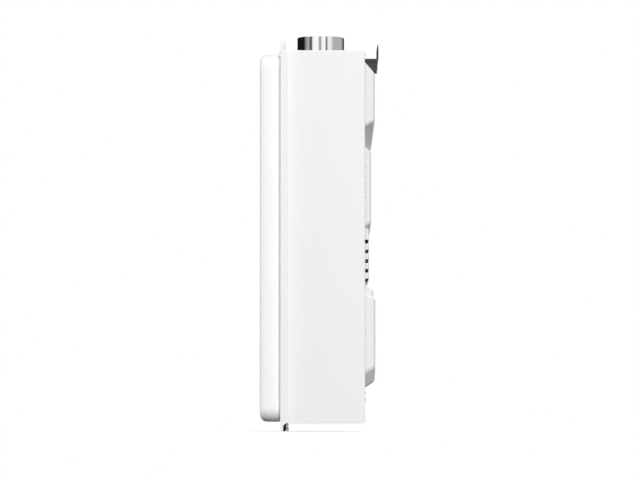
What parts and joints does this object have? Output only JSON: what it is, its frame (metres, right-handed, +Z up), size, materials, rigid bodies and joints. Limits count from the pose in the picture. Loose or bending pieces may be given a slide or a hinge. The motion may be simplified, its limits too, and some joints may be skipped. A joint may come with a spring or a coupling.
{
  "type": "tankless water heater",
  "caption": "Wall-hung gas tankless water heater: flanged steel case, drawn front cover with sprung keys, flue collar, and a fan, valve and flow turbine that move.",
  "frame": {"origin": "middle of the hanging ear's rear face, which lies on the wall", "axes": "+X to the heater's right seen from the front, +Y into the wall, +Z up"},
  "size_m": [0.35, 0.1922, 0.648],
  "materials": {
    "white_paint": "white powder coat",
    "galvanised": "zinc-coated sheet",
    "copper": "copper",
    "stainless": "stainless sheet",
    "chrome": "bright plated",
    "brass": "turned brass",
    "die_cast": "die cast",
    "black_plastic": "black moulded",
    "grey_plastic": "grey moulded",
    "ceramic": "fired",
    "foam": "soft seal",
    "board": "coated board",
    "smoked": "smoked window"
  },
  "bodies": {
    "heater": {"back_panel": "white_paint", "bottom_panel": "white_paint", "burner_bar_1": "stainless", "burner_bar_2": "stainless", "burner_bar_3": "stainless", "burner_bar_4": "stainless", "burner_bar_5": "stainless", "burner_bar_6": "stainless", "burner_bar_7": "stainless", "burner_tray": "galvanised", "case_shell": "white_paint", "cold_inlet_fitting": "brass", "combustion_chamber": "copper", "control_board": "board", "control_tray": "grey_plastic", "cover_gasket": "foam", "drain_branch": "brass", "exchanger_fins": "copper", "exchanger_shell": "copper", "fan_housing": "galvanised", "fan_motor": "black_plastic", "flame_rod": "ceramic", "flow_sensor_body": "black_plastic", "flue_collar": "chrome", "flue_gasket": "foam", "flue_hood": "stainless", "front_frame": "white_paint", "gas_feed_pipe": "galvanised", "gas_inlet_fitting": "brass", "gas_manifold": "die_cast", "gas_valve": "die_cast", "hanging_bracket": "stainless", "hot_outlet_fitting": "brass", "hot_outlet_pipe": "copper", "igniter_electrode": "ceramic", "main_solenoid": "stainless", "modulating_coil": "black_plastic", "overheat_thermostat": "black_plastic", "pressure_hose": "foam", "pressure_switch": "black_plastic", "return_bend_1": "copper", "return_bend_2": "copper", "return_bend_3": "copper", "return_bend_4": "copper", "safety_solenoid": "stainless", "spark_module": "black_plastic", "water_coil": "copper"},
    "cover": {"front_cover": "white_paint", "control_bezel": "grey_plastic", "display_window": "smoked"},
    "power_key": {"power_button": "black_plastic"},
    "temp_up_key": {"temp_up_button": "black_plastic"},
    "temp_down_key": {"temp_down_button": "black_plastic"},
    "fan": {"fan_impeller": "galvanised", "fan_shaft": "stainless"},
    "turbine": {"flow_turbine": "grey_plastic"},
    "plunger": {"valve_plunger": "stainless"},
    "drain": {"drain_plug": "chrome"}
  },
  "joints": [
    {"name": "cover_pull", "type": "slide", "parent": "heater", "child": "cover", "axis": [0, -1, 0], "range_m": [0, 0.25]},
    {"name": "power_press", "type": "slide", "parent": "cover", "child": "power_key", "axis": [0, 1, 0], "range_m": [0, 0.0012], "stiffness_N_per_m": 400, "springref_m": -0.001},
    {"name": "temp_up_press", "type": "slide", "parent": "cover", "child": "temp_up_key", "axis": [0, 1, 0], "range_m": [0, 0.0012], "stiffness_N_per_m": 400, "springref_m": -0.001},
    {"name": "temp_down_press", "type": "slide", "parent": "cover", "child": "temp_down_key", "axis": [0, 1, 0], "range_m": [0, 0.0012], "stiffness_N_per_m": 400, "springref_m": -0.001},
    {"name": "fan_spin", "type": "hinge", "parent": "heater", "child": "fan", "pos_m": [-0.039, -0.095, -0.074], "axis": [0, 1, 0], "continuous": true},
    {"name": "turbine_spin", "type": "hinge", "parent": "heater", "child": "turbine", "pos_m": [0.1, -0.087, -0.547], "axis": [0, 0, 1], "continuous": true},
    {"name": "plunger_slide", "type": "slide", "parent": "heater", "child": "plunger", "axis": [-1, 0, 0], "range_m": [0, 0.004], "stiffness_N_per_m": 300, "springref_m": -0.002},
    {"name": "drain_plug_pull", "type": "slide", "parent": "heater", "child": "drain", "axis": [0, 0, -1], "range_m": [0, 0.03]}
  ]
}
